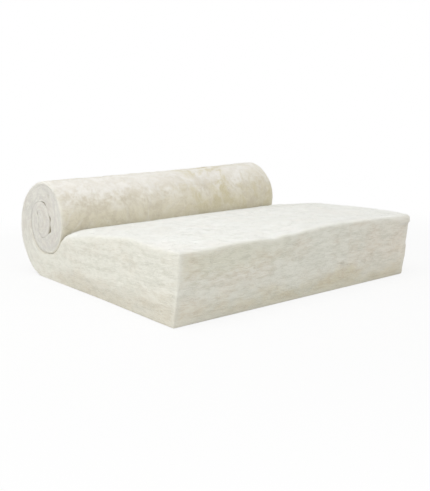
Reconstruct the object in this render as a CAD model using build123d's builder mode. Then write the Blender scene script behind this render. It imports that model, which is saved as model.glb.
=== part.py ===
# A mineral wool insulation blanket, partly unrolled: the freed length has sprung up to its full
# thickness and lies flat, and the rest is still squeezed into a roll of two turns behind it.
#
# The blanket is one piece of stock, so it is one solid with the same section all along its width.
# X runs along the roll, Y from the cut end back to the roll, Z up. The origin is on the floor,
# in the middle of the footprint.

from build123d import *
from math import cos, radians, sin
import os

# The blanket as it lies
blanket_width = 1200.0
flat_length = 1087.0  # along the floor, from the cut end to where the blanket curls up
roll_height = 440.0

# The freed slab
cut_height = 258.0  # thickness at the cut end
crown_height = 272.0  # greatest thickness, where the wool has sprung up most
cut_overhang = 24.0  # the cut end leans out by this much at its top
cut_edge_round = 14.0
shoulder_slope = 15.0  # degrees that the top slopes down by where it reaches the roll
lip_radius = 25.0  # the slab's top rolls over this edge into the crease under the roll
crease_angle = 20.0  # degrees below the roll's middle at which the roll leaves the slab

# The outside of the roll, from the floor over the back
heel_radius = 200.0
heel_turn = 127.0  # degrees that the heel turns through before the back flattens
rest_flat = 43.0  # the roll is flattened over this length where it rests on the slab

# Thickness of the squeezed blanket at each part of a turn, from the outside in
under_thickness = 116.0
over_thickness = 85.0
second_under_thickness = 64.0
second_back_thickness = 74.0
second_over_thickness = 55.0

# The cleft between one turn and the next
turn_gap = 4.0
cleft_opening = 11.0  # the cleft gapes by this much more in front of the core

# Half turns of the spiral, worked out from the thicknesses
heel_rise = sin(radians(heel_turn - 90))
back_radius = (roll_height - heel_radius * (1 + heel_rise)) / (1 - heel_rise)
roll_radius = (roll_height - under_thickness - turn_gap) / 2
second_radius = roll_radius - (over_thickness + turn_gap) / 2
core_radius = second_radius - (second_under_thickness + turn_gap) / 2

# Where the half turns stand, from the foot of the cut end
roll_y = flat_length - (back_radius - heel_radius) * cos(radians(heel_turn - 90))
core_y = roll_y + rest_flat
core_z = roll_height - over_thickness - turn_gap - core_radius
middle_y = (flat_length + heel_radius - cut_overhang) / 2

# The fold behind the rolled-in end, in the middle of the core
fold_y = core_y + second_radius - second_back_thickness
fold_z = core_z + core_radius - second_over_thickness
tip_radius = fold_y - turn_gap - core_y
section_plane = Plane(origin=(-blanket_width / 2, -middle_y, 0), x_dir=(0, 1, 0), z_dir=(1, 0, 0))

with BuildPart() as blanket:
    with BuildSketch(section_plane) as section:
        with BuildLine() as outline:
            # The blanket's underside, from the cut end round the roll and in to its tip
            floor_line = Line((0, 0), (flat_length, 0))
            heel = JernArc(floor_line @ 1, floor_line % 1, heel_radius, heel_turn)
            back = JernArc(heel @ 1, heel % 1, back_radius, 180 - heel_turn)
            front = JernArc(back @ 1, back % 1, roll_radius, 180)
            rest = Line(front @ 1, front @ 1 + (rest_flat, 0))
            second_turn = JernArc(rest @ 1, rest % 1, second_radius, 180)
            core = JernArc(second_turn @ 1, second_turn % 1, core_radius, 180)
            tip = JernArc(core @ 1, core % 1, tip_radius, 90)
            tip_side = Line(tip @ 1, (fold_y - turn_gap, fold_z))

            # The blanket's top, from the fold back out between the turns and over the slab
            fold = JernArc(tip_side @ 1, tip_side % 1, turn_gap / 2, -180)
            fold_side = Line(fold @ 1, (fold_y, (tip @ 1).Y))
            tip_cleft = JernArc(fold_side @ 1, fold_side % 1, tip_radius + turn_gap, -90)
            core_cleft = EllipticalCenterArc(
                (core_y, core_z),
                core_radius + turn_gap + cleft_opening,
                core_radius + turn_gap,
                start_angle=270,
                arc_size=-180,
            )
            second_cleft = JernArc(core_cleft @ 1, (1, 0), second_radius + turn_gap, -180)
            rest_cleft = Line(second_cleft @ 1, second_cleft @ 1 - (rest_flat, 0))
            crease = JernArc(rest_cleft @ 1, rest_cleft % 1, roll_radius + turn_gap, crease_angle - 90)
            lip = JernArc(crease @ 1, crease % 1, lip_radius, 90 - crease_angle - shoulder_slope)
            shoulder_radius = (crown_height - (lip @ 1).Y) / (1 - cos(radians(shoulder_slope)))
            shoulder = JernArc(lip @ 1, lip % 1, shoulder_radius, shoulder_slope)
            crown = TangentArc(shoulder @ 1, (-cut_overhang, cut_height), tangent=shoulder % 1)
            cut_end = Line(crown @ 1, floor_line @ 0)
        make_face()
        fillet(section.vertices().sort_by(Axis.X)[0], radius=cut_edge_round)
    extrude(amount=blanket_width)

blanket.part.label = "wool_blanket"
os.makedirs("parts", exist_ok=True)
export_step(blanket.part, "parts/wool_blanket.step")
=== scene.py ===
# A mineral wool insulation blanket, partly unrolled: the freed length has sprung up into a thick
# slab, and the rest is still squeezed into a roll behind it. Sizes are in metres. X runs along the
# roll, Y from the cut end back to the roll, Z up, and the floor is at zero.

from math import cos, radians, sin

import bpy
import numpy as np
from bpy.props import FloatProperty, FloatVectorProperty, PointerProperty
from bpy.types import Operator, Panel, PropertyGroup
from mathutils import Matrix, Vector


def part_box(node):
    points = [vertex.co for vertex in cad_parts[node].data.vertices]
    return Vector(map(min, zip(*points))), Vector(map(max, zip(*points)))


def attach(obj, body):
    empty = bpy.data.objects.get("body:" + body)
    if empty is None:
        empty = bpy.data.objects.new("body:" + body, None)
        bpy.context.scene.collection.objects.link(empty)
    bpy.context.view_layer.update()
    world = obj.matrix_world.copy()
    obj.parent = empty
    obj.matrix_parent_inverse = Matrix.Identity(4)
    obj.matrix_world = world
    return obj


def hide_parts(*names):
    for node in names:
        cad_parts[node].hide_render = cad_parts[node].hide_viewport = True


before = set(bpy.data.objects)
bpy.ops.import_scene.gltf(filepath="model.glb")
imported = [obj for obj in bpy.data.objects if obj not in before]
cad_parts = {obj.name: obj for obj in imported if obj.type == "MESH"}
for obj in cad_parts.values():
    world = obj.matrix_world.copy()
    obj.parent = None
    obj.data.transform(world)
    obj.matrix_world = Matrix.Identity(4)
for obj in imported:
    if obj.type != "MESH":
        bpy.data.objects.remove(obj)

bl_info = {
    "name": "Insulation Roll",
    "version": (1, 0, 0),
    "blender": (4, 5, 0),
    "location": "View3D > Sidebar > Insulation",
    "description": "Builds a partly unrolled mineral wool blanket and a plain studio round it",
    "category": "Add Mesh",
}

CAD_NODE = "wool_blanket"
BODY = "root"
LOW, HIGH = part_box(CAD_NODE)
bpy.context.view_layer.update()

# Names of what the blanket's mesh carries for its relief, fibres and material
PATH = "wool_path"  # distance along the blanket, place across its width, depth from its underside
SIDES = "wool_sides"  # how far a point is on a cut face, on the underside and on the top face
RIMS = "wool_rims"  # how near it is to a soft outer edge, which gets a painted highlight, to a groove, which is sunk and painted as shade, and to the painted shade of the clefts and the crease
THROUGH = "wool_through"  # the direction through the blanket, from its underside to its top
OPEN = "wool_open"  # 1 where the surface lies open to view, and less inside the roll and on the floor

# Where the slab's top stands higher or lower than its section: the place along the roll from the
# left end, the place back from the foot, the height, and the reach each way
SLAB_HUMPS = (
    (0.60, 0.00, 0.0050, 2.00, 0.25),
    (0.74, 0.00, 0.0120, 0.26, 0.20),
    (0.12, 0.00, -0.0020, 0.06, 0.06),
    (0.28, 0.00, 0.0030, 0.07, 0.06),
    (0.42, 0.00, -0.0075, 0.035, 0.06),
    (0.53, 0.00, -0.0055, 0.04, 0.10),
    (1.15, 0.00, -0.0030, 0.06, 0.06),
    (0.00, 0.13, -0.0055, 0.10, 0.09),
    (0.00, 0.31, 0.0070, 0.10, 0.08),
    (0.00, 0.50, -0.0055, 0.10, 0.18),
    (0.00, 0.76, 0.0040, 0.08, 0.08),
    (1.20, 0.25, 0.0040, 0.30, 0.20),
    (1.20, 0.66, -0.0110, 0.25, 0.12),
    (0.60, 0.76, -0.0110, 2.00, 0.14),
    (0.10, 0.80, 0.0035, 0.08, 0.08),
)

# The uneven mouths of the cleft before the core: how wide each gapes, its place down the cleft and
# its reach, all as shares
MOUTH_SHARES = ((0.42, 0.17, 0.09), (0.85, 0.46, 0.055), (1.0, 0.64, 0.075))
CLOSING_SHARE = 0.12  # of the crease's length, over which it closes
PRESSED_SHARE = 0.12  # of the rounding through the thickness, where one turn presses on the next

# How finely the mesh is laid out
LINE_STEPS = 240  # points in each run of the section, before it is shared out
EDGE_SHARES = (0.0, 0.3, 0.62)  # where lines run in a rounded edge, as shares of its width
INNER_CELLS = 1.45  # how much wider the faces are inside the roll
SIDE_STRIP = 0.06  # width at either end of the roll where no line is left out
BOW_LENGTH = 0.05  # length over which the innermost end becomes round
FIBRE_POINTS = 5  # in the line of each loose fibre

# How wide and strong the marks are that the mesh carries
FACE_EDGE = 1.2  # cells over which one kind of face turns into the next
RIM_EDGES = 2.6  # roundings over which a soft edge's rim fades
GROOVE_WIDTH = 0.0075  # the groove inside the roll's rim
LAP_CREASE_WIDTH = 0.005  # the groove below the lap at the cut end's corner
CREASE_WIDTH = 0.014  # the soft line of painted shade that ends the crease under the roll
CREASE_SHADE = 0.26  # how dark that painted shade is, beside 1 for a cleft
SKIN_DEPTH = 0.012  # depth over which a hidden face's mark fades
HOLLOW_RIM = 0.02  # length from the roll's ends over which a cleft's painted shade grows

HALF_TURN = radians(180)
QUARTER_TURN = radians(90)
TINY = 1e-9  # less than any length here


# What a user may change

def number(name, description, default, **more):
    """A number that a user may change."""
    return FloatProperty(name=name, description=description, default=default, **more)


def size(name, description, default):
    """A length that a user may change."""
    return number(name, description, default, unit="LENGTH")


def angle(name, description, degrees):
    """An angle that a user may change."""
    return number(name, description, radians(degrees), subtype="ANGLE")


def colour(name, description, default):
    """A colour that a user may change, given as it shows on a screen."""
    return FloatVectorProperty(
        name=name, description=description, default=default, subtype="COLOR_GAMMA", min=0, max=1
    )


class BlanketShape(PropertyGroup):
    """The blanket's section, which is the same as the frame's, and how evenly it lies."""

    flat_length: size("Flat length", "Along the floor, from the cut end to the curl", 1.087)
    cut_height: size("Cut height", "Thickness at the cut end", 0.258)
    crown_height: size("Crown height", "Greatest thickness of the freed slab", 0.272)
    overhang: size("Overhang", "How far the cut end leans out at its top", 0.024)
    shoulder_slope: angle("Shoulder slope", "Slope of the slab's top where it reaches the roll", 15)
    lip_radius: size("Lip radius", "Where the slab's top rolls over into the crease", 0.025)
    crease_angle: angle("Crease angle", "How far below the roll's middle the roll leaves the slab", 20)
    heel_radius: size("Heel radius", "Radius of the curl where it leaves the floor", 0.2)
    heel_turn: angle("Heel turn", "How far the heel turns before the back flattens", 127)
    rest_flat: size("Rest", "Length over which the roll is flattened on the slab", 0.043)
    under_thickness: size("Under the roll", "Thickness below the roll", 0.116)
    over_thickness: size("Over the roll", "Thickness of the outer turn at its top", 0.085)
    second_under: size("Second turn, under", "Thickness of the second turn below the core", 0.064)
    second_back: size("Second turn, back", "Thickness of the second turn behind the core", 0.074)
    second_over: size("Second turn, over", "Thickness of the second turn above the core", 0.055)
    turn_gap: size("Turn gap", "Cleft between one turn and the next", 0.004)
    pressed_gap: size("Pressed gap", "The same where the turns press on each other", 0.0005)
    cleft_opening: size("Cleft opening", "How much more the cleft gapes before the core", 0.020)
    seam_bow: size("Seam bow", "How far the seam in the core bends", 0.007)
    edge_round: size("Edge rounding", "Rounding of the soft outer edges", 0.013)
    lip_edge_round: size("Lip edge rounding", "The same at the slab's left end beside the roll", 0.03)
    floor_edge_round: size("Floor edge rounding", "Rounding of the edges on the floor", 0.006)
    crease_edge_round: size("Crease edge rounding", "Where the roll lies on the slab", 0.014)
    inner_edge_round: size("Inner edge rounding", "Rounding of the edges deeper in the roll", 0.0035)
    lap: size("Lap", "How far the top's skin laps over the cut end at its right corner", 0.033)
    lap_depth: size("Lap depth", "How far that lap stands out from the cut end", 0.0075)
    rim_width: size("Rim width", "Width of the skin that stands out round the roll's ends", 0.017)
    cell: size("Cell", "Width of the mesh's faces where they show", 0.008)
    hidden_cell: size("Hidden cell", "Width of the mesh's faces where they don't", 0.034)
    left_dip: size("Left dip", "How far the slab's top sinks at its left end", 0.029)
    left_dip_width: size("Left dip width", "How far along the roll that dip reaches", 0.085)
    lip_dip_width: size("Lip dip width", "The same beside the roll", 0.04)
    lean: size("Lean", "How far the cut end's top stands aside", 0.012)
    foot_lean: size("Foot lean", "How far its left foot stands out the other way", 0.010)
    bulge: size("Bulge", "How far the roll's back and right end stand out", 0.008)


class BlanketRelief(PropertyGroup):
    """How uneven the blanket's faces are."""

    swell: size("Swell", "Height of the broad waves of the faces", 0.007)
    dent_depth: size("Dent depth", "Depth of the dents in the roll", 0.006)
    layer_depth: size("Layer depth", "Depth of the layers on the cut faces", 0.005)
    tuft_height: size("Tuft height", "Height of the small tufts", 0.0028)
    groove_depth: size("Groove depth", "Depth of the grooves inside the roll's rim and below the lap", 0.004)
    seed: number("Seed", "Moves the pattern of the relief", 3.0)


class LooseFibres(PropertyGroup):
    """The loose fibres on the blanket's faces."""

    top_density: number("Top density", "Fibres to a square metre of the top", 5600)
    cut_density: number("Cut density", "The same on the cut faces", 4600)
    roll_density: number("Roll density", "The same on the roll", 4200)
    length: size("Length", "Length of a fibre", 0.045)
    radius: size("Radius", "Half of a fibre's thickness", 0.00022)
    rise: size("Rise", "How far its middle stands out of the wool", 0.0022)
    wander: size("Wander", "How far it strays from a straight line", 0.034)
    rims: number("Rims", "How many times more grow on the soft edges", 1.0)


class WoolFinish(PropertyGroup):
    """The colours of the wool, as they show on a screen."""

    top: colour("Top face", "The fluffy face that has sprung up", (0.969, 0.970, 0.952))
    cut: colour("Cut faces", "The cut ends of the fibres", (0.952, 0.947, 0.905))
    cut_shade: colour("Cut face shade", "Between the layers on the cut faces", (0.891, 0.887, 0.838))
    under: colour("Underside", "The face that is outside on the roll", (0.957, 0.947, 0.923))
    # Also the painted shade in the grooves inside the roll's rim and below the lap
    rolled: colour("Rolled cut face", "The cut faces' lumps in the roll", (0.873, 0.863, 0.838))
    # The darker curls, and also painted shade low on the roll
    under_shade: colour("Underside shade", "The darker curls on that face", (0.836, 0.803, 0.728))
    # Partly the wool's own yellower tint, partly painted shade where the roll turns to the floor
    under_low: colour("Underside low", "That face where it turns to the floor", (0.915, 0.892, 0.811))
    binder: colour("Binder", "The ochre patches of binder", (0.845, 0.81, 0.69))
    blush: colour("Blush", "Tint of the faintly pink clouds", (1.0, 0.972, 0.957))
    stain: colour("Stain", "Tint of the ochre stain along the foot of the cut faces", (0.934, 0.917, 0.845))
    # A duller, darker tint towards the foot of the cut faces
    dust: colour("Dust", "Tint of the duller wool at the foot of the cut faces", (0.888, 0.866, 0.848))
    # Painted shade on the cut end below its top left edge, a little warm
    warmth: colour("Warmth", "Tint of the cut end below its top left edge", (0.982, 0.979, 0.957))
    # Painted shade inside the clefts between the turns and along the crease
    hollow: colour("Hollow", "Inside the clefts between the turns", (0.80, 0.77, 0.68))


class StudioLook(PropertyGroup):
    """The camera and the lamps."""

    view_azimuth: angle("Azimuth", "Camera's way round the object", -36.99)
    view_elevation: angle("Elevation", "Camera's height angle", 10.53)
    view_roll: angle("Roll", "Camera's turn about its own axis", -1.66)
    view_distance: size("Distance", "From the camera to the point it looks at", 3.1432)
    view_target: FloatVectorProperty(
        name="Target",
        description="Point that the camera looks at",
        default=(-0.0531, -0.1423, 0.15),
        unit="LENGTH",
    )
    lens: number("Lens", "Focal length on a 36 mm sensor", 0.05298, unit="CAMERA")
    sky: number("Sky", "Strength of the even light from all round", 0.73)
    key: number("Key", "Power of the large lamp above", 42.0, unit="POWER")
    side: number("Side", "Power of the lamp on the left", 9.6, unit="POWER")


def values_of(group):
    """A group's values, by the names that a user sees."""
    return {group.bl_rna.properties[key].name: getattr(group, key) for key in type(group).__annotations__}


# Working with nodes

class Wire:
    """What a node puts out. A sum with it adds the node for that sum."""

    def __init__(self, socket):
        self.socket = socket
        self.tree = socket.id_data

    def into(self, socket):
        """Leads the wire into a node's input."""
        self.tree.links.new(self.socket, socket)

    def sum_of(self, operation, first, second):
        """One sum of two numbers."""
        return maths(operation, first, second)

    def __add__(self, other):
        return self.sum_of("ADD", self, other)

    def __radd__(self, other):
        return self.sum_of("ADD", other, self)

    def __sub__(self, other):
        return self.sum_of("SUBTRACT", self, other)

    def __rsub__(self, other):
        return self.sum_of("SUBTRACT", other, self)

    def __mul__(self, other):
        return self.sum_of("MULTIPLY", self, other)


class VectorWire(Wire):
    """The same for a vector or a colour, whose sums are with others of its kind."""

    def sum_of(self, operation, first, second):
        """One sum of two vectors."""
        return vector_maths(operation, first, second)


def wire(socket):
    """The wire that starts at a node's output."""
    return VectorWire(socket) if socket.type in {"VECTOR", "RGBA"} else Wire(socket)


def place(tree, kind, inputs=None, **settings):
    """Adds a node. An input is a value, or a wire."""
    made = tree.nodes.new(kind)
    for name, value in settings.items():
        setattr(made, name, value)
    for name, value in (inputs or {}).items():
        if isinstance(value, Wire):
            value.into(made.inputs[name])
        else:
            made.inputs[name].default_value = value
    return made


def output(tree, kind, inputs=None, which=0, **settings):
    """Adds a node and returns the wire from one of its outputs."""
    return wire(place(tree, kind, inputs, **settings).outputs[which])


def tree_of(*values):
    """The tree that the wires among some values are in."""
    return next(value.tree for value in values if isinstance(value, Wire))


def maths(operation, first, second=0.0):
    """Adds the node for one sum of two numbers."""
    return output(tree_of(first, second), "ShaderNodeMath", {0: first, 1: second}, operation=operation)


def vector_maths(operation, first, second, which=0):
    """Adds the node for one sum of two vectors."""
    inputs = {0: first, 1: second}
    return output(tree_of(first, second), "ShaderNodeVectorMath", inputs, which, operation=operation)


def scaled(vector, factor):
    """A vector times a number."""
    inputs = {"Vector": vector, "Scale": factor}
    return output(vector.tree, "ShaderNodeVectorMath", inputs, operation="SCALE")


def dot(first, second):
    """How far one vector goes along another."""
    return vector_maths("DOT_PRODUCT", first, second, "Value")


def parts_of(vector):
    """A vector's X, Y and Z."""
    return [wire(socket) for socket in place(vector.tree, "ShaderNodeSeparateXYZ", {0: vector}).outputs]


def combined(x, y, z=0.0):
    """A vector made of three numbers."""
    return output(x.tree, "ShaderNodeCombineXYZ", {"X": x, "Y": y, "Z": z})


def noise(vector, per_metre, detail=3.0, roughness=0.55, which=0):
    """A noise over a vector, with so many features to a metre along each of its axes."""
    inputs = {"Vector": vector * per_metre, "Scale": 1.0, "Detail": detail, "Roughness": roughness}
    return output(vector.tree, "ShaderNodeTexNoise", inputs, which)


def drift(vector, per_metre, detail):
    """A push of up to half each way, which changes slowly from place to place."""
    return noise(vector, per_metre, detail, which="Color") - (0.5, 0.5, 0.5)


def bent(vector, per_metre, reach):
    """A vector pushed about by a slow noise, so that streaks laid on it swirl."""
    return vector + drift(vector, per_metre, 1.0) * reach


def stepped(value, low, high, to_low=0.0, to_high=1.0):
    """A number moved smoothly from one range to another, and held inside it."""
    inputs = {"Value": value, "From Min": low, "From Max": high, "To Min": to_low, "To Max": to_high}
    return output(value.tree, "ShaderNodeMapRange", inputs, interpolation_type="SMOOTHSTEP")


def blend_numbers(factor, first, second):
    """A number between two."""
    return output(factor.tree, "ShaderNodeMix", {0: factor, 2: first, 3: second}, data_type="FLOAT")


def blended(factor, first, second, blend_type="MIX"):
    """A colour between two."""
    inputs = {0: factor, 6: first, 7: second}
    return output(factor.tree, "ShaderNodeMix", inputs, 2, data_type="RGBA", blend_type=blend_type)


def tinted(factor, base, tint):
    """A colour dyed with a tint, so that its own pattern still shows."""
    return blended(factor, base, tint, "MULTIPLY")


def screen_colour(value):
    """A colour as it shows on a screen, turned into light for a shader."""
    linear = [c / 12.92 if c <= 0.04045 else ((c + 0.055) / 1.055) ** 2.4 for c in value]
    return (*linear, 1.0)


def new_material(name):
    """A material with its tree and its shader."""
    material = bpy.data.materials.new(name)
    material.use_nodes = True
    return material, material.node_tree, material.node_tree.nodes["Principled BSDF"]


def set_shader(shader, **values):
    """Sets a shader's plain numbers, named as they show but with underscores."""
    for name, value in values.items():
        shader.inputs[name.replace("_", " ")].default_value = value


# The blanket's section

def smooth(share):
    """0 below 0, 1 above 1, and a soft step between."""
    held = np.clip(share, 0, 1)
    return held * held * (3 - 2 * held)


def rising(value, start, over):
    """0 up to a start, 1 past it by a length, and a soft step between."""
    return smooth((value - start) / over)


def falling(value, over):
    """1 at 0, 0 past a length, and a soft step between."""
    return 1 - smooth(value / over)


def bell(value, middle, width):
    """A soft bump round a middle."""
    return np.exp(-(((value - middle) / width) ** 2))


def profile(along, *knots):
    """A value that changes evenly between knots along the blanket, each a place and its value."""
    places, values = zip(*knots)
    return np.interp(along, places, values)


def straight(start, end):
    """Points along a straight run."""
    return np.linspace(start, end, LINE_STEPS)


def bowed(start, end, reach):
    """The same, but bent sideways in Y by a reach halfway."""
    line = straight(start, end)
    line[:, 0] += reach * np.sin(np.linspace(0, HALF_TURN, LINE_STEPS))
    return line


def arc(centre, radius, start, turn):
    """Points round a centre, from an angle in radians. The radius may change along the way."""
    angles = np.linspace(start, start + turn, LINE_STEPS)
    return np.asarray(centre) + np.stack([radius * np.cos(angles), radius * np.sin(angles)], axis=1)


def chain(*runs):
    """Several runs of points as one line."""
    return np.concatenate([runs[0]] + [run[1:] for run in runs[1:]])


def distances_along(line):
    """How far along a line each of its points lies."""
    steps = np.linalg.norm(np.diff(line, axis=0), axis=1)
    return np.concatenate([[0.0], np.cumsum(steps)])


def length_of(line):
    """The length of a line of points."""
    return float(np.linalg.norm(np.diff(line, axis=0), axis=1).sum())


def at_shares(line, shares):
    """The points that lie at these shares of a line's length."""
    along = distances_along(line)
    wanted = np.asarray(shares) * along[-1]
    return np.stack([np.interp(wanted, along, line[:, axis]) for axis in range(2)], axis=1)


def at_levels(underside, top, shares):
    """The places that lie at these shares of the way from the underside to the top."""
    return underside + (top - underside) * shares[:, None]


class RollPlan:
    """The middles and radii of the section's half turns, in Y and Z from the foot of the cut end."""

    def __init__(self, shape):
        gap = shape.turn_gap
        height = HIGH.z
        self.leaning = shape.heel_turn - QUARTER_TURN
        heel_rise = sin(self.leaning)

        # From the outermost half turn to the innermost
        self.back_radius = (height - shape.heel_radius * (1 + heel_rise)) / (1 - heel_rise)
        self.roll_radius = (height - shape.under_thickness - gap) / 2
        self.second_radius = self.roll_radius - (shape.over_thickness + gap) / 2
        self.core_radius = self.second_radius - (shape.second_under + gap) / 2
        roll_y = shape.flat_length - (self.back_radius - shape.heel_radius) * cos(self.leaning)
        roll_z = height - self.roll_radius
        core_y = roll_y + shape.rest_flat
        second_z = roll_z - self.roll_radius + self.second_radius
        core_z = second_z + self.second_radius - self.core_radius
        self.heel = (shape.flat_length, shape.heel_radius)
        self.back = (roll_y, height - self.back_radius)
        self.roll = (roll_y, roll_z)
        self.second = (core_y, second_z)
        self.core = (core_y, core_z)

        # The fold in the core, and the round innermost end below it
        fold_y = core_y + self.second_radius - shape.second_back
        self.fold = (fold_y, core_z + self.core_radius - shape.second_over)
        self.tip_radius = fold_y - gap - core_y
        self.tip = (core_y, core_z - self.core_radius + self.tip_radius)

        # The lip, where the slab's top dives under the roll
        self.lip_start = HALF_TURN + shape.crease_angle
        lip_reach = self.roll_radius + gap + shape.lip_radius
        self.lip = (roll_y + lip_reach * cos(self.lip_start), roll_z + lip_reach * sin(self.lip_start))


def slab_top(shape, plan):
    """The slab's top, from the cut end over the crown and the shoulder to the lip."""
    slope = shape.shoulder_slope
    lip_y, lip_z = plan.lip
    lip_turn = QUARTER_TURN - shape.crease_angle - slope
    lip_top = lip_z + shape.lip_radius * cos(slope)
    shoulder_radius = (shape.crown_height - lip_top) / (1 - cos(slope))
    crown_y = lip_y + shape.lip_radius * sin(slope) - shoulder_radius * sin(slope)
    run = crown_y + shape.overhang
    drop = shape.crown_height - shape.cut_height
    crown_radius = (run**2 + drop**2) / (2 * drop)
    crown_turn = np.arcsin(run / crown_radius)
    crown_centre = (crown_y, shape.crown_height - crown_radius)
    shoulder_centre = (crown_y, shape.crown_height - shoulder_radius)
    return chain(
        arc(crown_centre, crown_radius, QUARTER_TURN + crown_turn, -crown_turn),
        arc(shoulder_centre, shoulder_radius, QUARTER_TURN, -slope),
        arc(plan.lip, shape.lip_radius, shape.crease_angle + lip_turn, -lip_turn),
    )


def top_under_roll(shape, plan):
    """The slab's top below the roll: a crease that closes soon after the lip, and a flat rest."""
    way = np.linspace(0, 1, LINE_STEPS)
    closing = shape.turn_gap + (shape.pressed_gap - shape.turn_gap) * smooth(way / CLOSING_SHARE)
    rest_z = plan.roll[1] - plan.roll_radius - shape.pressed_gap
    turn = HALF_TURN - plan.lip_start + QUARTER_TURN
    return chain(
        arc(plan.roll, plan.roll_radius + closing, plan.lip_start, turn),
        straight((plan.roll[0], rest_z), (plan.core[0], rest_z)),
    )


def section_stretches(shape):
    """The section's stretches in Y and Z, each as its lower and upper line, and its round tip."""
    plan = RollPlan(shape)
    gap = shape.turn_gap
    floor = 0.0
    foot_end = (shape.flat_length, floor)
    below_lip = (plan.lip[0], floor)
    fold_y, fold_z = plan.fold
    tip_z = plan.tip[1]
    seam_y = fold_y - gap
    rest_z = plan.roll[1] - plan.roll_radius

    # The cleft before the core gapes in uneven mouths, and the others are tight
    way = np.linspace(0, 1, LINE_STEPS)
    mouths = sum(width * bell(way, middle, reach) for width, middle, reach in MOUTH_SHARES)
    front_gap = shape.pressed_gap + shape.cleft_opening * mouths

    stretches = {
        "slab": (straight((0, floor), below_lip), slab_top(shape, plan)),
        "under": (straight(below_lip, foot_end), top_under_roll(shape, plan)),
        "back": (
            chain(
                arc(plan.heel, shape.heel_radius, -QUARTER_TURN, shape.heel_turn),
                arc(plan.back, plan.back_radius, plan.leaning, HALF_TURN - shape.heel_turn),
            ),
            arc(plan.second, plan.second_radius + shape.pressed_gap, -QUARTER_TURN, HALF_TURN),
        ),
        "front": (
            arc(plan.roll, plan.roll_radius, QUARTER_TURN, HALF_TURN),
            arc(plan.core, plan.core_radius + front_gap, QUARTER_TURN, HALF_TURN),
        ),
        "second": (
            chain(
                straight((plan.roll[0], rest_z), (plan.core[0], rest_z)),
                arc(plan.second, plan.second_radius, -QUARTER_TURN, HALF_TURN),
            ),
            chain(
                arc(plan.tip, plan.tip_radius + gap, -QUARTER_TURN, QUARTER_TURN),
                bowed((fold_y, tip_z), (fold_y, fold_z), -shape.seam_bow),
                arc((fold_y - gap / 2, fold_z), gap / 2, 0, HALF_TURN),
            ),
        ),
        "core": (
            arc(plan.core, plan.core_radius, QUARTER_TURN, HALF_TURN),
            bowed((seam_y, fold_z), (seam_y, tip_z), -shape.seam_bow),
        ),
    }
    return stretches, arc(plan.tip, plan.tip_radius, -QUARTER_TURN, QUARTER_TURN)


# The blanket's mesh

def stations(length, cell, edges, at_end=True):
    """Distances along a length: close together in its rounded edges, and even between them."""
    start = [edges * share for share in EDGE_SHARES]
    end = [length - line for line in reversed(start)] if at_end else []
    last = length - edges if at_end else length
    count = max(1, round((last - edges) / cell))
    return np.array(start + list(np.linspace(edges, last, count + 1)) + end)


class BlanketGrid:
    """Where the mesh's lines run: columns along the blanket, lines across it, and levels through it."""

    def __init__(self, shape):
        stretches, tip = section_stretches(shape)
        self.lay_columns(shape, stretches)
        self.lay_lines(shape)

        # Levels through the thickness, as shares of it
        levels = stations(shape.crown_height, shape.cell, shape.edge_round)
        self.levels = levels / levels[-1]
        self.tip = at_shares(tip, np.linspace(0, 1, len(levels)))

    def lay_columns(self, shape, stretches):
        """The columns along the blanket, and which of their two faces show."""
        undersides, tops, shown_below, shown_above = [], [], [], []
        ends = {}
        for name, (underside, top) in stretches.items():
            if name == "slab":
                length = length_of(underside)
                shares = stations(length, shape.cell, shape.edge_round, at_end=False) / length
            else:
                cell = shape.cell * (INNER_CELLS if name in {"second", "core"} else 1.0)
                longest = max(length_of(underside), length_of(top))
                shares = np.linspace(0, 1, max(2, round(longest / cell)) + 1)[1:]
            undersides.append(at_shares(underside, shares))
            tops.append(at_shares(top, shares))
            shown_below += [name in {"back", "front"}] * len(shares)
            shown_above += [name == "slab"] * len(shares)
            ends[name] = len(shown_below) - 1
        self.underside = np.concatenate(undersides)
        self.top = np.concatenate(tops)
        self.columns = len(self.underside)

        # The seam between a shown and a hidden stretch belongs to the shown one
        self.visible = (np.array(shown_below), np.array(shown_above))
        for shown in self.visible:
            shown[np.flatnonzero(np.diff(shown.astype(int)) == 1)] = True
            shown[0] = True

        self.along = distances_along((self.underside + self.top) / 2)
        self.thickness = np.linalg.norm(self.top - self.underside, axis=1)
        self.slab_end = self.along[ends["slab"]]
        self.front_end = self.along[ends["front"]]

    def lay_lines(self, shape):
        """The lines across the width: all of them for where the blanket shows, and a few elsewhere."""
        width = HIGH.x - LOW.x
        self.across = stations(width, shape.cell, shape.edge_round) - width / 2
        self.all_lines = np.arange(len(self.across))
        on_step = self.all_lines % round(shape.hidden_cell / shape.cell) == 0
        self.few_lines = self.all_lines[on_step | (abs(self.across) > width / 2 - SIDE_STRIP)]

    def lines_at(self, side, column):
        """The lines that a column has on the blanket's underside, which is side 0, or on its top."""
        return self.all_lines if self.visible[side][column] else self.few_lines


def between(points, start, end, whole):
    """A line's points at a start and an end, with those between them where the line is whole."""
    return points[start : end + 1 : 1 if whole else end - start].tolist()


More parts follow.
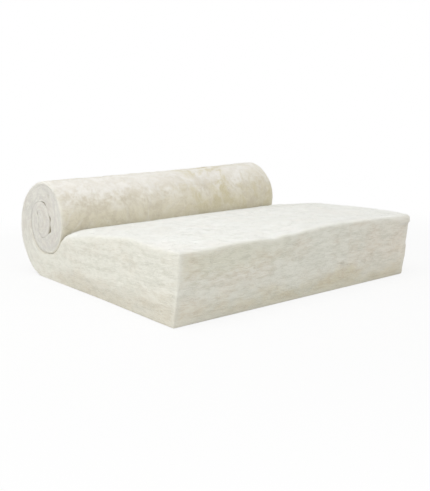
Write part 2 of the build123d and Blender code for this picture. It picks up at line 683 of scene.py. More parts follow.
def surface_of_grid(grid):
    """The grid's places that lie on the blanket's surface, and the faces between them."""
    columns, lines, levels = grid.columns, len(grid.across), len(grid.levels)
    outer_levels = ((0, 0), (1, levels - 1))
    used = np.zeros((columns, lines, levels), bool)
    used[:, 0, :] = True
    used[:, -1, :] = True
    used[0] = True
    used[-1][grid.few_lines] = True
    for side, level in outer_levels:
        for column in range(columns):
            used[column, grid.lines_at(side, column), level] = True
    index = np.full(used.shape, -1)
    index[used] = np.arange(used.sum())
    faces = []

    def strip(first, second, first_at, second_at, turned):
        """Faces between two lines of the mesh, of which one may skip places that the other has."""
        fewer = min(first_at, second_at, key=len)
        for start, end in zip(fewer[:-1], fewer[1:]):
            near = between(first, start, end, whole=len(first_at) > len(fewer))
            far = between(second, start, end, whole=len(second_at) > len(fewer))
            ring = near + far[::-1]
            faces.append(ring[::-1] if turned else ring)

    every_level = np.arange(levels)
    for column in range(columns - 1):
        here, there = index[column], index[column + 1]
        for side, level in outer_levels:
            lines_here, lines_there = grid.lines_at(side, column), grid.lines_at(side, column + 1)
            strip(here[:, level], there[:, level], lines_here, lines_there, turned=side == 0)
        strip(here[0], there[0], every_level, every_level, turned=False)
        strip(here[-1], there[-1], every_level, every_level, turned=True)
    for level in range(levels - 1):
        for column, places, turned in ((0, grid.all_lines, False), (-1, grid.few_lines, True)):
            strip(index[column, :, level], index[column, :, level + 1], places, places, turned)
    return np.argwhere(used), faces


class SurfacePoints:
    """Where each point of the surface lies on the blanket, and how far it is from each edge."""

    def __init__(self, grid, places):
        column, line, level = places.T
        self.along = grid.along[column]
        self.across = grid.across[line]
        self.share = grid.levels[level]
        self.depth = self.share * grid.thickness[column]
        self.underside = grid.underside[column]
        self.top = grid.top[column]
        self.through = (self.top - self.underside) / grid.thickness[column][:, None]

        # How far the round innermost end lies beyond the flat last column
        self.bow = (grid.tip - at_levels(grid.underside[-1], grid.top[-1], grid.levels))[level]

        # The nearer face is the underside for a point that is low in the thickness, or else the top
        above = grid.thickness[column] - self.depth
        self.low = self.depth < above
        self.shown = np.where(self.low, grid.visible[0][column], grid.visible[1][column])
        self.from_cut = self.along
        self.from_side = grid.across[-1] - abs(self.across)
        self.from_face = np.where(self.low, self.depth, above)


def edge_roundings(grid, shape, at):
    """The rounding at each point: soft where it shows, and small on the floor and inside the roll."""
    soft, crease, inner = shape.edge_round, shape.crease_edge_round, shape.inner_edge_round

    # Places are measured from the curl, and from the ends of the slab and of the roll's front
    curl, slab, front = shape.flat_length, grid.slab_end, grid.front_end
    below = profile(
        at.along,
        (curl, shape.floor_edge_round),
        (curl + 0.08, soft),
        (front - 0.25, soft),
        (front, crease),
        (front + 0.15, crease),
        (front + 0.22, inner),
    )
    creased = ((slab + 0.05, crease), (slab + 0.25, crease), (slab + 0.35, inner))
    above_left = profile(at.along, (slab - 0.35, soft), (slab - 0.07, shape.lip_edge_round), *creased)
    above_right = profile(at.along, (slab - 0.02, soft), *creased)
    above = np.where(at.across < 0, above_left, above_right)
    return np.where(at.low, below, above)


def drawn_in(grid, shape, at):
    """How far the rounded edges draw each point in from the cut end, the side and the face."""
    rounding = edge_roundings(grid, shape, at)[:, None]
    into = np.maximum(0.0, rounding - np.stack([at.from_cut, at.from_side, at.from_face], axis=1))
    reach = np.linalg.norm(into, axis=1)[:, None]
    rounded = into * (rounding / np.maximum(reach, TINY))
    drawn = np.where(reach > rounding, into - rounded, 0.0)

    # Where one turn presses on the next, their faces stay together and only the ends draw back
    below = profile(at.along, (grid.front_end - 0.25, 1), (grid.front_end, PRESSED_SHARE))
    above = profile(at.along, (grid.slab_end - 0.02, 1), (grid.slab_end + 0.05, PRESSED_SHARE))
    drawn[:, 2] *= np.where(at.low, below, above)
    return drawn


class CornerLap:
    """At the right corner the top's skin laps over the cut end, as far as a short crease."""

    def __init__(self, shape, at):
        on_end = (at.from_cut < shape.cell) * ~at.low
        self.share = on_end * rising(at.across, start=0.42, over=0.14)
        self.length = shape.lap * (0.5 + 0.5 * self.share)

        # It stands out more the further down it is, and ends within a fifth of its length
        down = at.from_face / self.length
        fading = 5 * (1.2 - down)
        self.bulge = self.share * np.clip(np.minimum(down, fading), 0, 1)
        # The crease below the lap is sunk into the relief and also painted as a dark line of shade
        crease = bell(at.from_face, middle=1.12 * self.length, width=LAP_CREASE_WIDTH)
        self.crease = on_end * rising(at.across, start=0.50, over=0.07) * crease


def rounded_places(grid, shape, at):
    """The section's places at each point, with a round inner end and soft edges: across, Y and Z."""
    nearness = np.clip(1 - (grid.along[-1] - at.along) / BOW_LENGTH, 0, 1)
    section = at_levels(at.underside, at.top, at.share) + at.bow * (nearness**2)[:, None]

    # Rounded edges pull in along the blanket, across it and through it
    along, aside, through = drawn_in(grid, shape, at).T
    section = section + np.where(at.low[:, None], at.through, -at.through) * through[:, None]
    return at.across - np.sign(at.across) * aside, section[:, 0] + along, section[:, 1]


def uneven_places(grid, shape, at, across, y, z):
    """The places of a blanket that lies a little unevenly: the slab's top and ends, and the roll."""
    from_left = across + grid.across[-1]
    to_right = from_left / (2 * grid.across[-1])
    on_slab = (at.along < shape.flat_length) * (1 - rising(y, start=0.835, over=0.05))
    lift = np.clip(z / shape.crown_height, 0, 1) * on_slab

    # The slab's top waves, and sinks at its left end as it nears the roll
    for middle, back, height, reach_along, reach_back in SLAB_HUMPS:
        z = z + height * bell(from_left, middle, reach_along) * bell(y, back, reach_back) * lift
    beside_roll = rising(y, start=0.62, over=0.2)
    dip_width = shape.left_dip_width + (shape.lip_dip_width - shape.left_dip_width) * beside_roll
    sinking = rising(y, start=0.36, over=0.42)
    z = z - shape.left_dip * np.exp(-from_left / dip_width) * sinking * lift

    # The cut end's top leans aside, and its left foot the other way
    beside_cut = falling(y, over=0.6)
    near_floor = falling(z, over=0.15)
    across = across + shape.lean * (1 + 0.8 * to_right) * lift * beside_cut
    across = across - shape.foot_lean * (1 - to_right) * near_floor * beside_cut

    # The roll's back and right end stand out a little
    bulge = shape.bulge * rising(at.along, start=shape.flat_length, over=0.2)
    y = y + bulge * (1 - to_right) * rising(y, start=1.1, over=0.12)
    below_top = 1 - rising(z, start=0.33, over=0.08)
    across = across + bulge * rising(to_right, start=0.9, over=0.1) * below_top
    z = z + bulge * rising(to_right, start=0.5, over=0.5) * rising(z, start=0.2, over=0.3)
    return across, y, z


def store(mesh, name, *parts):
    """Keeps a number, or a vector of three parts, on each of a mesh's points."""
    kind, field = ("FLOAT", "value") if len(parts) == 1 else ("FLOAT_VECTOR", "vector")
    layer = mesh.attributes.new(name, kind, "POINT")
    layer.data.foreach_set(field, np.stack(parts, axis=1).astype(np.float32).ravel())


def store_sides(mesh, shape, at, lap):
    """Keeps how far each point is on a cut face, on the underside and on the top face."""
    edge = shape.cell * FACE_EDGE
    fading = edge + (lap.length - edge) * lap.share
    near_low = np.clip(1 - at.from_face / edge, 0, 1) * at.low
    near_high = np.clip(1 - at.from_face / fading, 0, 1) * ~at.low
    cut = np.clip(1 - np.minimum(at.from_cut, at.from_side) / edge, 0, 1)
    cut = cut * (1 - 0.5 * at.shown * np.maximum(near_low, near_high))
    store(mesh, SIDES, cut, near_low, near_high)


def store_openness(mesh, grid, shape, at, lap):
    """Keeps how open each point lies, how near it is to a rim and a groove, and the painted shade of the
    clefts and the crease.
    """
    # An edge is as near as the second nearest of three faces, and a hidden face counts as far away
    far = 1.0
    from_edge = np.sort([at.from_cut, at.from_side, np.where(at.shown, at.from_face, far)], axis=0)[1]
    # The material paints a highlight on this rim, and more fibres grow there
    rim = falling(from_edge, over=RIM_EDGES * shape.edge_round)

    # A groove runs inside the roll's rim, and another below the lap at the cut end's corner; both are sunk
    # into the relief and painted darker as shade
    past_back = rising(at.along - shape.flat_length, start=0.35, over=0.15)
    groove = bell(at.from_face, middle=shape.rim_width, width=GROOVE_WIDTH) * at.low * past_back
    groove = groove * (at.along < grid.front_end) * falling(at.from_side, over=shape.cell)

    # The crease that the roll presses into the slab ends in a soft line of painted shade
    front, slab = grid.front_end, grid.slab_end
    below = profile(at.along, (front - 0.19, 0), (front - 0.13, 1), (front + 0.08, 1), (front + 0.15, 0))
    above = profile(at.along, (slab, 0), (slab + 0.04, 1), (slab + 0.40, 1), (slab + 0.48, 0))
    crease = np.where(at.low, below, above) * falling(at.from_face, over=CREASE_WIDTH)

    # Faces that lie on each other are hidden, and so is the foot
    on_floor = at.low & (at.underside[:, 1] < TINY) & (at.from_face < shape.floor_edge_round)
    hidden = ~at.shown * falling(at.from_face, over=SKIN_DEPTH)
    from_rim = rising(at.from_side, start=0.0, over=HOLLOW_RIM)
    # Painted shade deep in the clefts, fading in from the roll's ends, and along the crease's line
    hollow = np.maximum(hidden * from_rim * ~on_floor, CREASE_SHADE * crease)
    store(mesh, OPEN, np.where(on_floor, 0.0, 1 - hidden * (0.9 + 0.1 * from_rim)))
    store(mesh, RIMS, rim, groove + lap.crease, hollow)


def build_blanket_mesh(shape):
    """The blanket's surface, with what its relief, fibres and material need stored on its points."""
    grid = BlanketGrid(shape)
    places, faces = surface_of_grid(grid)
    at = SurfacePoints(grid, places)
    lap = CornerLap(shape, at)
    across, y, z = rounded_places(grid, shape, at)
    across, y, z = uneven_places(grid, shape, at, across, y - shape.lap_depth * lap.bulge, z)
    foot_y = HIGH.y - shape.flat_length - shape.heel_radius
    points = np.stack([across, y + foot_y, np.maximum(z, 0.0)], axis=1)

    mesh = bpy.data.meshes.new("wool")
    mesh.from_pydata(points.tolist(), [], faces)
    mesh.update()
    store(mesh, PATH, at.along, at.across, at.depth)
    store_sides(mesh, shape, at, lap)
    store_openness(mesh, grid, shape, at, lap)
    store(mesh, THROUGH, np.zeros(len(points)), *at.through.T)
    return mesh


# Node trees that shape the mesh

def new_shape_tree(name, numbers, materials=()):
    """A tree with a geometry going in and out, and named numbers and materials going in."""
    tree = bpy.data.node_groups.new(name, "GeometryNodeTree")
    kinds = {"Geometry": "Geometry", **dict.fromkeys(numbers, "Float")}
    kinds.update(dict.fromkeys(materials, "Material"))
    for given_name, kind in kinds.items():
        tree.interface.new_socket(given_name, in_out="INPUT", socket_type="NodeSocket" + kind)
    tree.interface.new_socket("Geometry", in_out="OUTPUT", socket_type="NodeSocketGeometry")
    start = tree.nodes.new("NodeGroupInput")
    end = tree.nodes.new("NodeGroupOutput")
    given = {given_name: wire(start.outputs[given_name]) for given_name in kinds}
    return tree, given, end.inputs["Geometry"]


def realized(geometry):
    """A geometry with its instances made real."""
    return output(geometry.tree, "GeometryNodeRealizeInstances", {"Geometry": geometry})


def finished(geometry, material, result):
    """Ends a tree: its instances made real, and its material set."""
    inputs = {"Geometry": realized(geometry), "Material": material}
    output(geometry.tree, "GeometryNodeSetMaterial", inputs).into(result)


def stored(tree, name, data_type="FLOAT_VECTOR"):
    """What the mesh carries under a name."""
    return output(tree, "GeometryNodeInputNamedAttribute", {"Name": name}, data_type=data_type)


def positioned(geometry, **where):
    """A geometry whose points are moved to a Position or by an Offset."""
    return output(geometry.tree, "GeometryNodeSetPosition", {"Geometry": geometry, **where})


def held_above(position, lowest):
    """A position that isn't below a height."""
    x, y, z = parts_of(position)
    return combined(x, y, maths("MAXIMUM", z, lowest))


def relief_tree():
    """Raises waves on all faces, layers on the cut ones and tufts everywhere, and keeps the foot down."""
    numbers = ["Swell", "Dent depth", "Layer depth", "Tuft height", "Groove depth", "Seed"]
    tree, given, result = new_shape_tree("wool_relief", numbers)
    cut, under, _ = parts_of(stored(tree, SIDES))
    _, groove, _ = parts_of(stored(tree, RIMS))
    where = stored(tree, PATH) + combined(given["Seed"], given["Seed"], given["Seed"])

    def wave(vector, per_metre, detail, height):
        """A noise between minus and plus half of a height."""
        return (noise(vector, per_metre, detail) - 0.5) * height

    broad = wave(where, (3.1, 3.4, 5.0), 1.0, given["Swell"])
    layered = bent(where, (5.0, 5.0, 9.0), (0.0, 0.0, 0.02))
    layers = wave(layered, (7.0, 7.0, 52.0), 2.0, given["Layer depth"]) * cut
    tufts = wave(where, (36.0, 36.0, 60.0), 2.0, given["Tuft height"])
    curly = bent(where, (9.0, 9.0, 9.0), (0.08, 0.08, 0.0))
    dents = wave(curly, (15.0, 15.0, 2.0), 3.0, given["Dent depth"]) * under
    total = (broad + layers) + (tufts + dents) - groove * given["Groove depth"]
    total = total * stored(tree, OPEN, "FLOAT")

    normal = output(tree, "GeometryNodeInputNormal")
    raised = positioned(given["Geometry"], Offset=scaled(normal, total))
    settled = positioned(raised, Position=held_above(output(tree, "GeometryNodeInputPosition"), 0.0))
    finished(settled, wool_material(), result)
    return tree


def shaped_by(source, tree, values, name):
    """Runs a tree on an object and returns what it makes as a plain mesh."""
    modifier = source.modifiers.new(tree.name, "NODES")
    modifier.node_group = tree
    for item in tree.interface.items_tree:
        if item.in_out == "INPUT" and item.name in values:
            modifier[item.identifier] = values[item.name]
    depsgraph = bpy.context.evaluated_depsgraph_get()
    evaluated = source.evaluated_get(depsgraph)
    mesh = bpy.data.meshes.new_from_object(evaluated, preserve_all_data_layers=True, depsgraph=depsgraph)
    mesh.name = name
    source.modifiers.remove(modifier)
    return mesh


def linked(name, data):
    """An object for a mesh, a lamp or a camera, in the scene."""
    made = bpy.data.objects.new(name, data)
    bpy.context.scene.collection.objects.link(made)
    return made


# Loose fibres

PALETTE = "OFBake"  # a fibre's UV map: its tone across, and the way along it upwards
LOWEST_FIBRE = 0.0005  # how near to the floor a fibre's line may come


def captured(geometry, value, kind="VECTOR"):
    """Keeps a value as it is on each point now. Returns the geometry and the kept value."""
    node = place(geometry.tree, "GeometryNodeCaptureAttribute", {"Geometry": geometry})
    node.capture_items.new(kind, "kept")
    value.into(node.inputs[1])
    return wire(node.outputs[0]), wire(node.outputs[1])


def chance(tree, seed):
    """A number from 0 to 1, picked for each point."""
    return output(tree, "FunctionNodeRandomValue", {"Seed": seed}, 1, data_type="FLOAT")


def fibre_density(given, sides, rim):
    """How many fibres grow on each kind of face, with more on the rims and none out of view."""
    cut, under, top = sides
    share = cut * given["Cut faces"] + under * given["Underside"] + top * given["Top"]
    share = share * (1.0 + rim * given["Rims"])
    in_view = maths("GREATER_THAN", stored(rim.tree, OPEN, "FLOAT"), 0.9)
    return share * in_view * given["Density"]


def way_of_lying(outward, cut):
    """A way along the surface, picked for each point, and along the layers on a cut face."""
    limits = {0: (-1.0, -1.0, -1.0), 1: (1.0, 1.0, 1.0), "Seed": 3}
    any_way = output(cut.tree, "FunctionNodeRandomValue", limits, data_type="FLOAT_VECTOR")
    through = stored(cut.tree, THROUGH)
    lying = any_way + scaled(through, dot(any_way, through) * (cut * -0.8))
    lying = lying + scaled(outward, dot(lying, outward) * -1.0)
    return output(cut.tree, "ShaderNodeVectorMath", {0: lying}, operation="NORMALIZE")


def fibre_tubes(line, radius, bow):
    """Three-sided tubes along lines, thin at both ends, and the way round them."""
    ring = output(line.tree, "GeometryNodeCurvePrimitiveCircle", {"Resolution": 3, "Radius": 1.0})
    turn = output(line.tree, "GeometryNodeSplineParameter", which="Factor")
    ring, round_way = captured(ring, turn, "FLOAT")
    thickness = radius * (0.35 + bow * 0.65)
    inputs = {"Curve": line, "Profile Curve": ring, "Scale": thickness, "Fill Caps": True}
    return output(line.tree, "GeometryNodeCurveToMesh", inputs), round_way


def fibre_tree():
    """Strews thin curled fibres, each of which rises out of the wool and dips back into it."""
    numbers = ["Density", "Length", "Radius", "Rise", "Wander", "Cut faces", "Underside", "Top", "Rims"]
    tree, given, result = new_shape_tree("loose_fibres", numbers, ["Material"])
    sides = parts_of(stored(tree, SIDES))
    rim, _, _ = parts_of(stored(tree, RIMS))
    growing = {"Mesh": given["Geometry"], "Density": fibre_density(given, sides, rim), "Seed": 7}
    strewn = place(tree, "GeometryNodeDistributePointsOnFaces", growing, distribute_method="RANDOM")
    points, normal = wire(strewn.outputs["Points"]), wire(strewn.outputs["Normal"])

    # Each fibre keeps its root, its tone, the way out of the wool and the way it lies
    points, outward = captured(points, normal)
    points, root = captured(points, output(tree, "GeometryNodeInputPosition"))
    points, tone = captured(points, chance(tree, 1), "FLOAT")
    points, long = captured(points, chance(tree, 2), "FLOAT")
    points, lying = captured(points, way_of_lying(normal, sides[0]))
    points, freedom = captured(points, stepped(rim, 0.0, 1.0, 1.0, 0.35), "FLOAT")

    # A line of a few points for each, bowed out of the wool, with the bow 1 halfway and 0 at its ends
    line = output(tree, "GeometryNodeCurvePrimitiveLine", {"Start": (0, 0, 0), "End": (0, 0, 1)})
    line = output(tree, "GeometryNodeResampleCurve", {"Curve": line, "Count": FIBRE_POINTS})
    copies = output(tree, "GeometryNodeInstanceOnPoints", {"Points": points, "Instance": line})
    factor = output(tree, "GeometryNodeSplineParameter", which="Factor")
    real, along = captured(realized(copies), factor, "FLOAT")
    bow = along * 4.0 * (1.0 - along)
    reach = given["Length"] * (0.45 + long * 0.8) * (along - 0.5) * freedom
    rise = bow * given["Rise"] * (0.3 + tone)
    laid = root + scaled(lying, reach) + scaled(outward, rise)

    # It strays from that line, but little in and out of the wool
    push = drift(laid + scaled(lying, tone * 3.0), (32.0, 32.0, 32.0), 0.0)
    push = push + scaled(outward, dot(push, outward) * -0.9)
    laid = laid + scaled(push, given["Wander"] * (0.25 + bow) * freedom)
    shaped = positioned(real, Position=held_above(laid, LOWEST_FIBRE))

    # Each tube's map holds its tone and the way along it
    tubes, round_way = fibre_tubes(shaped, given["Radius"], bow)
    spot = combined(tone * 0.97 + round_way * 0.02, along)
    inputs = {"Geometry": tubes, "Name": PALETTE, "Value": spot}
    settings = {"data_type": "FLOAT2", "domain": "CORNER"}
    finished(output(tree, "GeometryNodeStoreNamedAttribute", inputs, **settings), given["Material"], result)
    return tree


def fibre_material(name, pale, dark):
    """A fibre's colour, picked by its tone."""
    material, tree, shader = new_material(name)
    tone = noise(output(tree, "ShaderNodeUVMap", uv_map=PALETTE), (60.0, 0.6, 1.0), 1.0)
    shade = blended(stepped(tone, 0.35, 0.65), screen_colour(dark), screen_colour(pale))
    shade.into(shader.inputs["Base Color"])
    set_shader(shader, Roughness=0.6, Specular_IOR_Level=0.3)
    return material


# The wool's material

class WoolPatterns:
    """What the blanket's mesh carries, and the patterns that its colours and bump are made of."""

    def __init__(self, tree):
        def carried(name):
            return output(tree, "ShaderNodeAttribute", which="Vector", attribute_name=name)

        path = carried(PATH)
        self.along, self.across, _ = parts_of(path)
        self.cut, self.under, self.top = parts_of(carried(SIDES))
        # For the painted highlight on the rims, the grooves, and the painted shade in the clefts and the
        # crease
        self.rim, self.groove, self.hollow = parts_of(carried(RIMS))
        _, self.back, self.height = parts_of(output(tree, "ShaderNodeTexCoord", which="Object"))

        # Layers: long and thin through the thickness
        layered = bent(path, (3.0, 3.0, 5.0), (0.05, 0.05, 0.012))
        layered = bent(layered, (24.0, 24.0, 40.0), (0.012, 0.012, 0.006))
        self.coarse_layers = noise(layered, (6.0, 6.0, 42.0), 4.0)
        self.fine_layers = noise(layered, (30.0, 30.0, 220.0), 4.0)
        long_clumps = noise(layered, (21.0, 25.0, 54.0), 4.0, 0.6)
        short_clumps = noise(layered, (27.0, 27.0, 48.0), 4.0, 0.6)
        self.clumps = blend_numbers(stepped(self.along, 0.95, 1.25), long_clumps, short_clumps)
        self.clouds = noise(path, (6.0, 6.0, 11.0))

        # Curls: swirls along the faces
        curly = bent(path, (5.0, 5.0, 5.0), (0.06, 0.08, 0.0))
        curly = bent(curly, (22.0, 22.0, 22.0), (0.022, 0.028, 0.0))
        self.coarse_curls = noise(curly, (17.0, 12.0, 1.0))
        self.fine_curls = noise(curly, (60.0, 44.0, 1.0), 4.0, 0.65)
        self.hairs = noise(curly, (120.0, 420.0, 1.0), 3.0, 0.6)
        self.wisps = noise(curly, (380.0, 900.0, 900.0), 2.0)
        self.patches = noise(curly, (9.0, 7.0, 1.0), 5.0, 0.7)
        loops = noise(bent(path, (9.0, 9.0, 9.0), (0.1, 0.1, 0.0)), (9.0, 9.0, 1.0), 1.0)
        self.strands = maths("ABSOLUTE", loops - 0.5)
        self.curl = self.coarse_curls * 0.45 + self.fine_curls * 0.55


def cut_colour(wool, finish):
    """Pale layers with duller gaps, faintly pink clouds, greyer lumps in the roll, a stained and darker
    foot, and painted shade below the top left edge and in the grooves.
    """
    shade = wool.coarse_layers * 0.32 + wool.fine_layers * 0.31 + wool.clumps * 0.37
    mixed = blended(stepped(shade, 0.40, 0.56), finish["cut_shade"], finish["cut"])
    lumps = stepped(wool.clumps, 0.60, 0.42, 0.4, 0.95) * stepped(wool.along, 1.05, 1.5)
    mixed = blended(lumps, mixed, finish["rolled"])

    # The blush grows to the right, and is weaker on the left end
    on_left = stepped(wool.across, -0.57, -0.6)
    blush = stepped(wool.clouds, 0.38, 0.7) * stepped(shade, 0.56, 0.44, 0.3, 1.0)
    blush = blush + stepped(wool.across, 0.1, 0.6, 0.0, 0.5)
    blush = maths("MINIMUM", blush, 1.0) * (on_left * -0.5 + 1.0)
    mixed = tinted(blush, mixed, finish["blush"])

    # The ochre stain lies along the slab's foot, the faces turn duller and darker towards it, and painted
    # shade lies below its top left edge
    on_slab = stepped(wool.along, 1.05, 0.8)
    on_end = 1.0 - on_left
    ragged = wool.height + wool.clouds * -0.22 + wool.clumps * -0.08
    to_right = stepped(wool.across, -0.6, -0.1, 0.35, 1.0)
    stained = stepped(ragged, -0.05, -0.15, 0.0, 0.65) * on_slab * to_right
    mixed = tinted(stained, mixed, finish["stain"])
    # The cut faces turn duller and darker towards their foot
    ragged = wool.height + wool.clumps * -0.12
    end_foot = stepped(ragged, 0.0, -0.06, 0.0, 0.17) * on_end
    side_foot = stepped(ragged, 0.035, -0.01, 0.0, 0.44) * on_left
    mixed = tinted((end_foot + side_foot) * on_slab, mixed, finish["dust"])
    # Painted shade on the cut end below its top left edge
    high = stepped(ragged, 0.07, 0.14) * stepped(wool.across, 0.1, -0.4) * on_slab
    mixed = tinted(high * on_end, mixed, finish["warmth"])
    # Painted shade in the grooves inside the roll's rim and below the lap
    return blended(wool.groove * 0.8, mixed, finish["rolled"])


def underside_colour(wool, finish):
    """Mottled curls and loose strands, with ochre patches of binder to the right, and painted shade low on
    the roll.
    """
    # Darker and yellower low on the roll: partly the wool's own tint, partly painted shade where it turns to
    # the floor
    lowness = stepped(wool.height, 0.40, 0.275)
    mixed = blended(lowness, finish["under"], finish["under_low"])
    # The darker curls, with painted shade added low on the roll and a little more on its left
    mottled = maths("MAXIMUM", stepped(wool.curl, 0.62, 0.40), lowness * 0.4)
    mottled = mottled * stepped(wool.height, 0.44, 0.35, 0.2, 0.75)
    mottled = mottled * stepped(wool.across, -0.5, 0.5, 1.12, 1.06)
    mixed = blended(mottled, mixed, finish["under_shade"])

    # The binder lies low on the right half, and is weaker at the top right
    top_right = stepped(wool.across, 0.28, 0.42) * stepped(wool.height, 0.31, 0.38)
    binder = stepped(wool.patches, 0.43, 0.57) * stepped(wool.across, -0.05, 0.2)
    binder = binder * stepped(wool.height, 0.25, 0.33, 0.65, 1.0) * (top_right * -0.75 + 1.0)
    mixed = blended(binder, mixed, finish["binder"])
    strands = stepped(wool.strands, 0.05, 0.0) * stepped(wool.patches, 0.42, 0.58, 0.0, 0.35)
    return blended(strands, mixed, finish["under"])


def top_colour(wool, finish):
    """Near white, with only faint streaks."""
    curl = wool.coarse_curls * 0.7 + wool.fine_curls * 0.3
    mixed = blended(stepped(curl, 0.40, 0.58, 0.82, 1.0), finish["cut_shade"], finish["top"])
    return tinted(stepped(wool.clouds, 0.45, 0.7, 0.0, 0.25), mixed, finish["blush"])


def wool_material():
    """Mineral wool: layered streaks on the cut faces, soft swirls on the underside, and a near white top."""
    chosen = bpy.context.scene.wool_finish
    finish = {name: screen_colour(getattr(chosen, name)) for name in WoolFinish.__annotations__}
    material, tree, shader = new_material("mineral_wool")
    wool = WoolPatterns(tree)

    # Each face has its own colour; the rims get a painted highlight, and the clefts and the crease painted
    # shade
    outside = maths("DIVIDE", wool.under, maths("MAXIMUM", wool.under + wool.top, 0.001))
    skin = blended(outside, top_colour(wool, finish), underside_colour(wool, finish))
    whole = blended(wool.cut, skin, cut_colour(wool, finish))
    # Painted highlight on the soft rims, weaker on the roll and stronger at the roll's right end
    roll_rim = stepped(wool.back, 0.42, 0.52) * stepped(wool.across, 0.5, 0.58, 0.0, 0.45)
    rim_light = wool.rim * (stepped(wool.back, 0.42, 0.52, 0.38, 0.08) + roll_rim)
    whole = blended(rim_light, whole, finish["cut"])
    # Painted shade inside the clefts and along the crease
    whole = blended(wool.hollow, whole, finish["hollow"])
    whole.into(shader.inputs["Base Color"])

    # Fibres too fine for the mesh
    curled = wool.fine_curls + wool.hairs * 0.4
    height = blend_numbers(wool.cut, curled, wool.fine_layers) + wool.wisps * 0.4
    bump = output(tree, "ShaderNodeBump", {"Height": height, "Distance": 0.006, "Strength": 0.6})
    bump.into(shader.inputs["Normal"])
    set_shader(shader, Roughness=0.95, Specular_IOR_Level=0.15, Sheen_Weight=0.12, Sheen_Roughness=0.6)
    return material


class INSULATION_OT_blanket(Operator):
    """Build the blanket: its section along the roll, its soft edges, its relief and its wool"""

    bl_idname = "insulation.blanket"
    bl_label = "Wool Blanket"

    def execute(self, context):
        plain = linked("plain_wool", build_blanket_mesh(context.scene.blanket_shape))
        mesh = shaped_by(plain, relief_tree(), values_of(context.scene.blanket_relief), "wool")
        bpy.data.objects.remove(plain)
        mesh.shade_smooth()
        wool = linked("wool", mesh)
        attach(wool, BODY)
        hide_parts(CAD_NODE)
        return {"FINISHED"}


class INSULATION_OT_fibres(Operator):
    """Strew loose fibres over the blanket's top, its cut faces and the roll"""

    bl_idname = "insulation.fibres"
    bl_label = "Loose Fibres"

    def execute(self, context):
        fibres = context.scene.loose_fibres
        finish = context.scene.wool_finish
        wool = bpy.data.objects["wool"]
        tree = fibre_tree()
        # The fibres' piece, the face that they grow on, how many to a square metre, and their colours
        kinds = (
            ("top_fibres", "Top", fibres.top_density, finish.top, finish.top),
            ("cut_fibres", "Cut faces", fibres.cut_density, finish.top, finish.cut),
            ("roll_fibres", "Underside", fibres.roll_density, finish.top, finish.under_low),
        )
        for name, face, density, pale, dark in kinds:
            faces = {kind: float(kind == face) for kind in ("Cut faces", "Underside", "Top")}
            material = fibre_material(name, pale, dark)
            values = {**values_of(fibres), **faces, "Density": density, "Material": material}
            piece = linked(name, shaped_by(wool, tree, values, name))
            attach(piece, BODY)
            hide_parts(CAD_NODE)
        return {"FINISHED"}


# The studio

def soft_lamp(name, origin, target, width, power):
    """A square area lamp, turned to a target."""
    data = bpy.data.lights.new(name, "AREA")
    data.size = width
    data.energy = power
    lamp = linked(name, data)
    lamp.location = origin
    lamp.rotation_mode = "QUATERNION"
    lamp.rotation_quaternion = (Vector(target) - Vector(origin)).to_track_quat("-Z", "Y")


def seen_directly(tree):
    """1 for a ray that the camera sees, straight or through gloss or glass, and 0 for other light."""
    rays = place(tree, "ShaderNodeLightPath").outputs
    seen = maths("MAXIMUM", wire(rays["Is Camera Ray"]), wire(rays["Is Glossy Ray"]))
    return maths("MAXIMUM", seen, wire(rays["Is Transmission Ray"]))


def floor_material():
    """A pale floor, white to the camera but for the soft shadow under the object."""
    material, tree, _ = new_material("pale_floor")
    tree.nodes.clear()
    lit = output(tree, "ShaderNodeBsdfDiffuse", {"Color": (0.86, 0.86, 0.85, 1.0)})
    white = output(tree, "ShaderNodeEmission", {"Color": (1.0, 1.0, 1.0, 1.0), "Strength": 1.0})
    spot = output(tree, "ShaderNodeTexCoord", which="Object")
    distance = output(tree, "ShaderNodeVectorMath", {0: spot}, "Value", operation="LENGTH")
    share = seen_directly(tree) * stepped(distance, 1.2, 2.4, 0.84, 1.0)
    mixed = output(tree, "ShaderNodeMixShader", {0: share, 1: lit, 2: white})
    place(tree, "ShaderNodeOutputMaterial", {"Surface": mixed}, is_active_output=True)
    return material


def white_world(strength):
    """An even pale sky, which the camera sees as white."""
    world = bpy.data.worlds.new("studio")
    world.use_nodes = True
    tree = world.node_tree
    background = tree.nodes["Background"]
    light = seen_directly(tree) * (1.0 - strength) + strength
    light.into(background.inputs["Strength"])
    background.inputs["Color"].default_value = (1.0, 1.0, 1.0, 1.0)
    bpy.context.scene.world = world


def view_matrix(look):
    """The camera's place and turn, from its angles, its distance and the point that it looks at."""
    turn, rise, roll = look.view_azimuth, look.view_elevation, look.view_roll
    back = Vector((sin(turn) * cos(rise), -cos(turn) * cos(rise), sin(rise)))
    right = Vector((0, 0, 1)).cross(back).normalized()
    up = back.cross(right)
    axes = (right * cos(roll) + up * sin(roll), up * cos(roll) - right * sin(roll), back)
    stand = Vector(look.view_target) + back * look.view_distance
    return Matrix.Translation(stand) @ Matrix(axes).transposed().to_4x4()


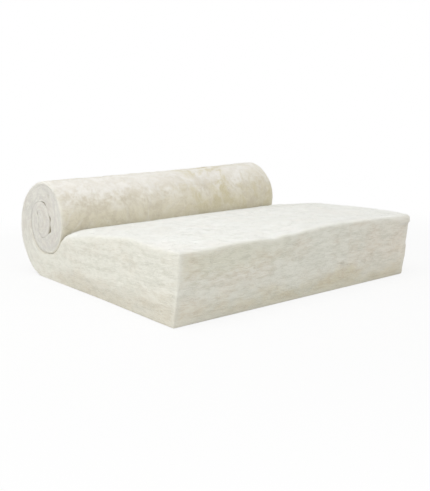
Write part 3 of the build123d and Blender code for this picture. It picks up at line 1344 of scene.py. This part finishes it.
class INSULATION_OT_studio(Operator):
    """Set up the pale floor, the soft lamps and the camera"""

    bl_idname = "insulation.studio"
    bl_label = "Studio"

    def execute(self, context):
        look = context.scene.studio_look
        half, level = 30.0, -0.001
        corners = [(-half, -half, level), (half, -half, level), (half, half, level), (-half, half, level)]
        mesh = bpy.data.meshes.new("floor")
        mesh.from_pydata(corners, [], [(0, 1, 2, 3)])
        mesh.materials.append(floor_material())
        linked("floor", mesh)
        white_world(look.sky)
        soft_lamp("key", origin=(-1.2, -0.6, 3.4), target=(0, 0, 0.1), width=2.6, power=look.key)
        soft_lamp("side", origin=(-3.2, 0.2, 1.3), target=(0, 0, 0.2), width=1.8, power=look.side)

        data = bpy.data.cameras.new("camera")
        data.sensor_fit = "AUTO"
        data.sensor_width = 36.0
        data.lens = look.lens * 1000
        camera = linked("camera", data)
        camera.matrix_world = view_matrix(look)
        context.scene.camera = camera
        context.scene.view_settings.view_transform = "Standard"
        return {"FINISHED"}


class INSULATION_PT_panel(Panel):
    """Lists the steps and what each can change"""

    bl_idname = "INSULATION_PT_panel"
    bl_label = "Insulation Roll"
    bl_space_type = "VIEW_3D"
    bl_region_type = "UI"
    bl_category = "Insulation"

    def draw(self, context):
        for step in STEPS:
            self.layout.operator(step.bl_idname)
        for group_name, group in GROUPS.items():
            box = self.layout.box()
            for name in group.__annotations__:
                box.prop(getattr(context.scene, group_name), name)


STEPS = (INSULATION_OT_blanket, INSULATION_OT_fibres, INSULATION_OT_studio)
GROUPS = {
    "blanket_shape": BlanketShape,
    "blanket_relief": BlanketRelief,
    "loose_fibres": LooseFibres,
    "wool_finish": WoolFinish,
    "studio_look": StudioLook,
}


def register():
    """Makes the groups, the steps and the panel known."""
    for name, group in GROUPS.items():
        bpy.utils.register_class(group)
        setattr(bpy.types.Scene, name, PointerProperty(type=group))
    for shown in (*STEPS, INSULATION_PT_panel):
        bpy.utils.register_class(shown)


def unregister():
    """Takes them away again."""
    for shown in (INSULATION_PT_panel, *reversed(STEPS)):
        bpy.utils.unregister_class(shown)
    for name, group in reversed(GROUPS.items()):
        delattr(bpy.types.Scene, name)
        bpy.utils.unregister_class(group)


def main():
    """Builds everything in order."""
    register()
    bpy.ops.insulation.blanket()
    bpy.ops.insulation.fibres()
    bpy.ops.insulation.studio()


if __name__ == "__main__":
    main()
